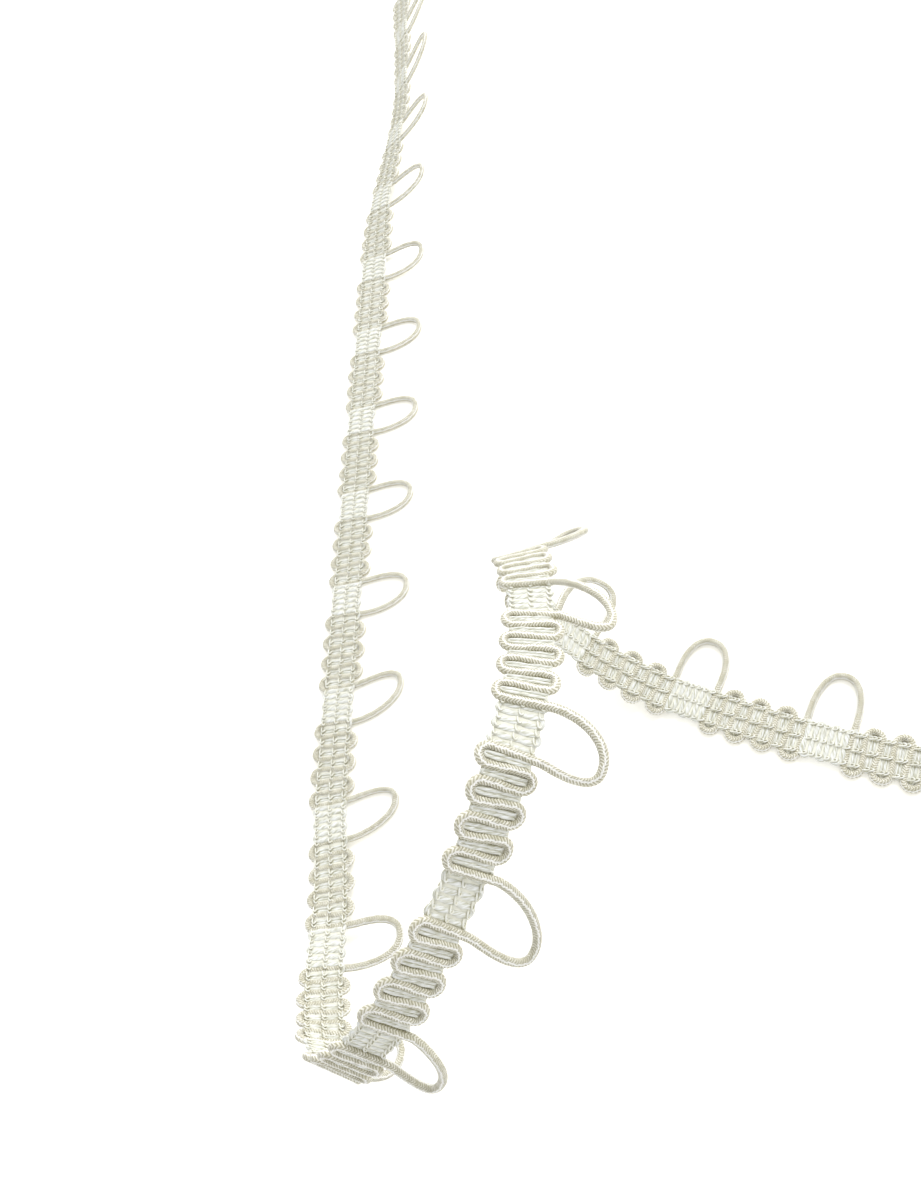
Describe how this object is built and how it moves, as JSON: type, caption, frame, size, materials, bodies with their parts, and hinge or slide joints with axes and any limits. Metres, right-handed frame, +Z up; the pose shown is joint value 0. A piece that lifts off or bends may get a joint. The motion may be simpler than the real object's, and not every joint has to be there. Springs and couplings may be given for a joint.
{
  "type": "elastic button loop tape",
  "caption": "Cut length of ivory knitted elastic tape with a thick covered cord thrown out past one edge as a row of button loops, lying in two open folds.",
  "frame": {"origin": "on the surface the tape lies on, under the middle of its box", "axes": "+Y along the long flat run towards the start of the tape, +X towards its loops, +Z up from the surface"},
  "size_m": [0.1288, 0.3526, 0.0634],
  "materials": {
    "covered_cord": "satin",
    "ground_yarn": "matte"
  },
  "bodies": {
    "root": {"ground": "ground_yarn", "cord_start": "covered_cord", "loop_00": "covered_cord", "cord_00": "covered_cord", "loop_01": "covered_cord", "cord_01": "covered_cord", "loop_02": "covered_cord", "cord_02": "covered_cord", "loop_03": "covered_cord", "cord_03": "covered_cord", "loop_04": "covered_cord", "cord_04": "covered_cord", "loop_05": "covered_cord", "cord_05": "covered_cord", "loop_06": "covered_cord", "cord_06": "covered_cord", "loop_07": "covered_cord", "cord_07": "covered_cord", "loop_08": "covered_cord", "cord_08": "covered_cord", "loop_09": "covered_cord", "cord_09": "covered_cord", "loop_10": "covered_cord", "cord_10": "covered_cord", "loop_11": "covered_cord", "cord_11": "covered_cord", "loop_12": "covered_cord", "cord_12": "covered_cord", "loop_13": "covered_cord", "cord_13": "covered_cord", "loop_14": "covered_cord", "cord_14": "covered_cord", "loop_15": "covered_cord", "cord_15": "covered_cord", "loop_16": "covered_cord", "cord_16": "covered_cord", "loop_17": "covered_cord", "cord_17": "covered_cord", "loop_18": "covered_cord", "cord_18": "covered_cord", "loop_19": "covered_cord", "cord_19": "covered_cord", "loop_20": "covered_cord", "cord_20": "covered_cord"}
  },
  "joints": []
}
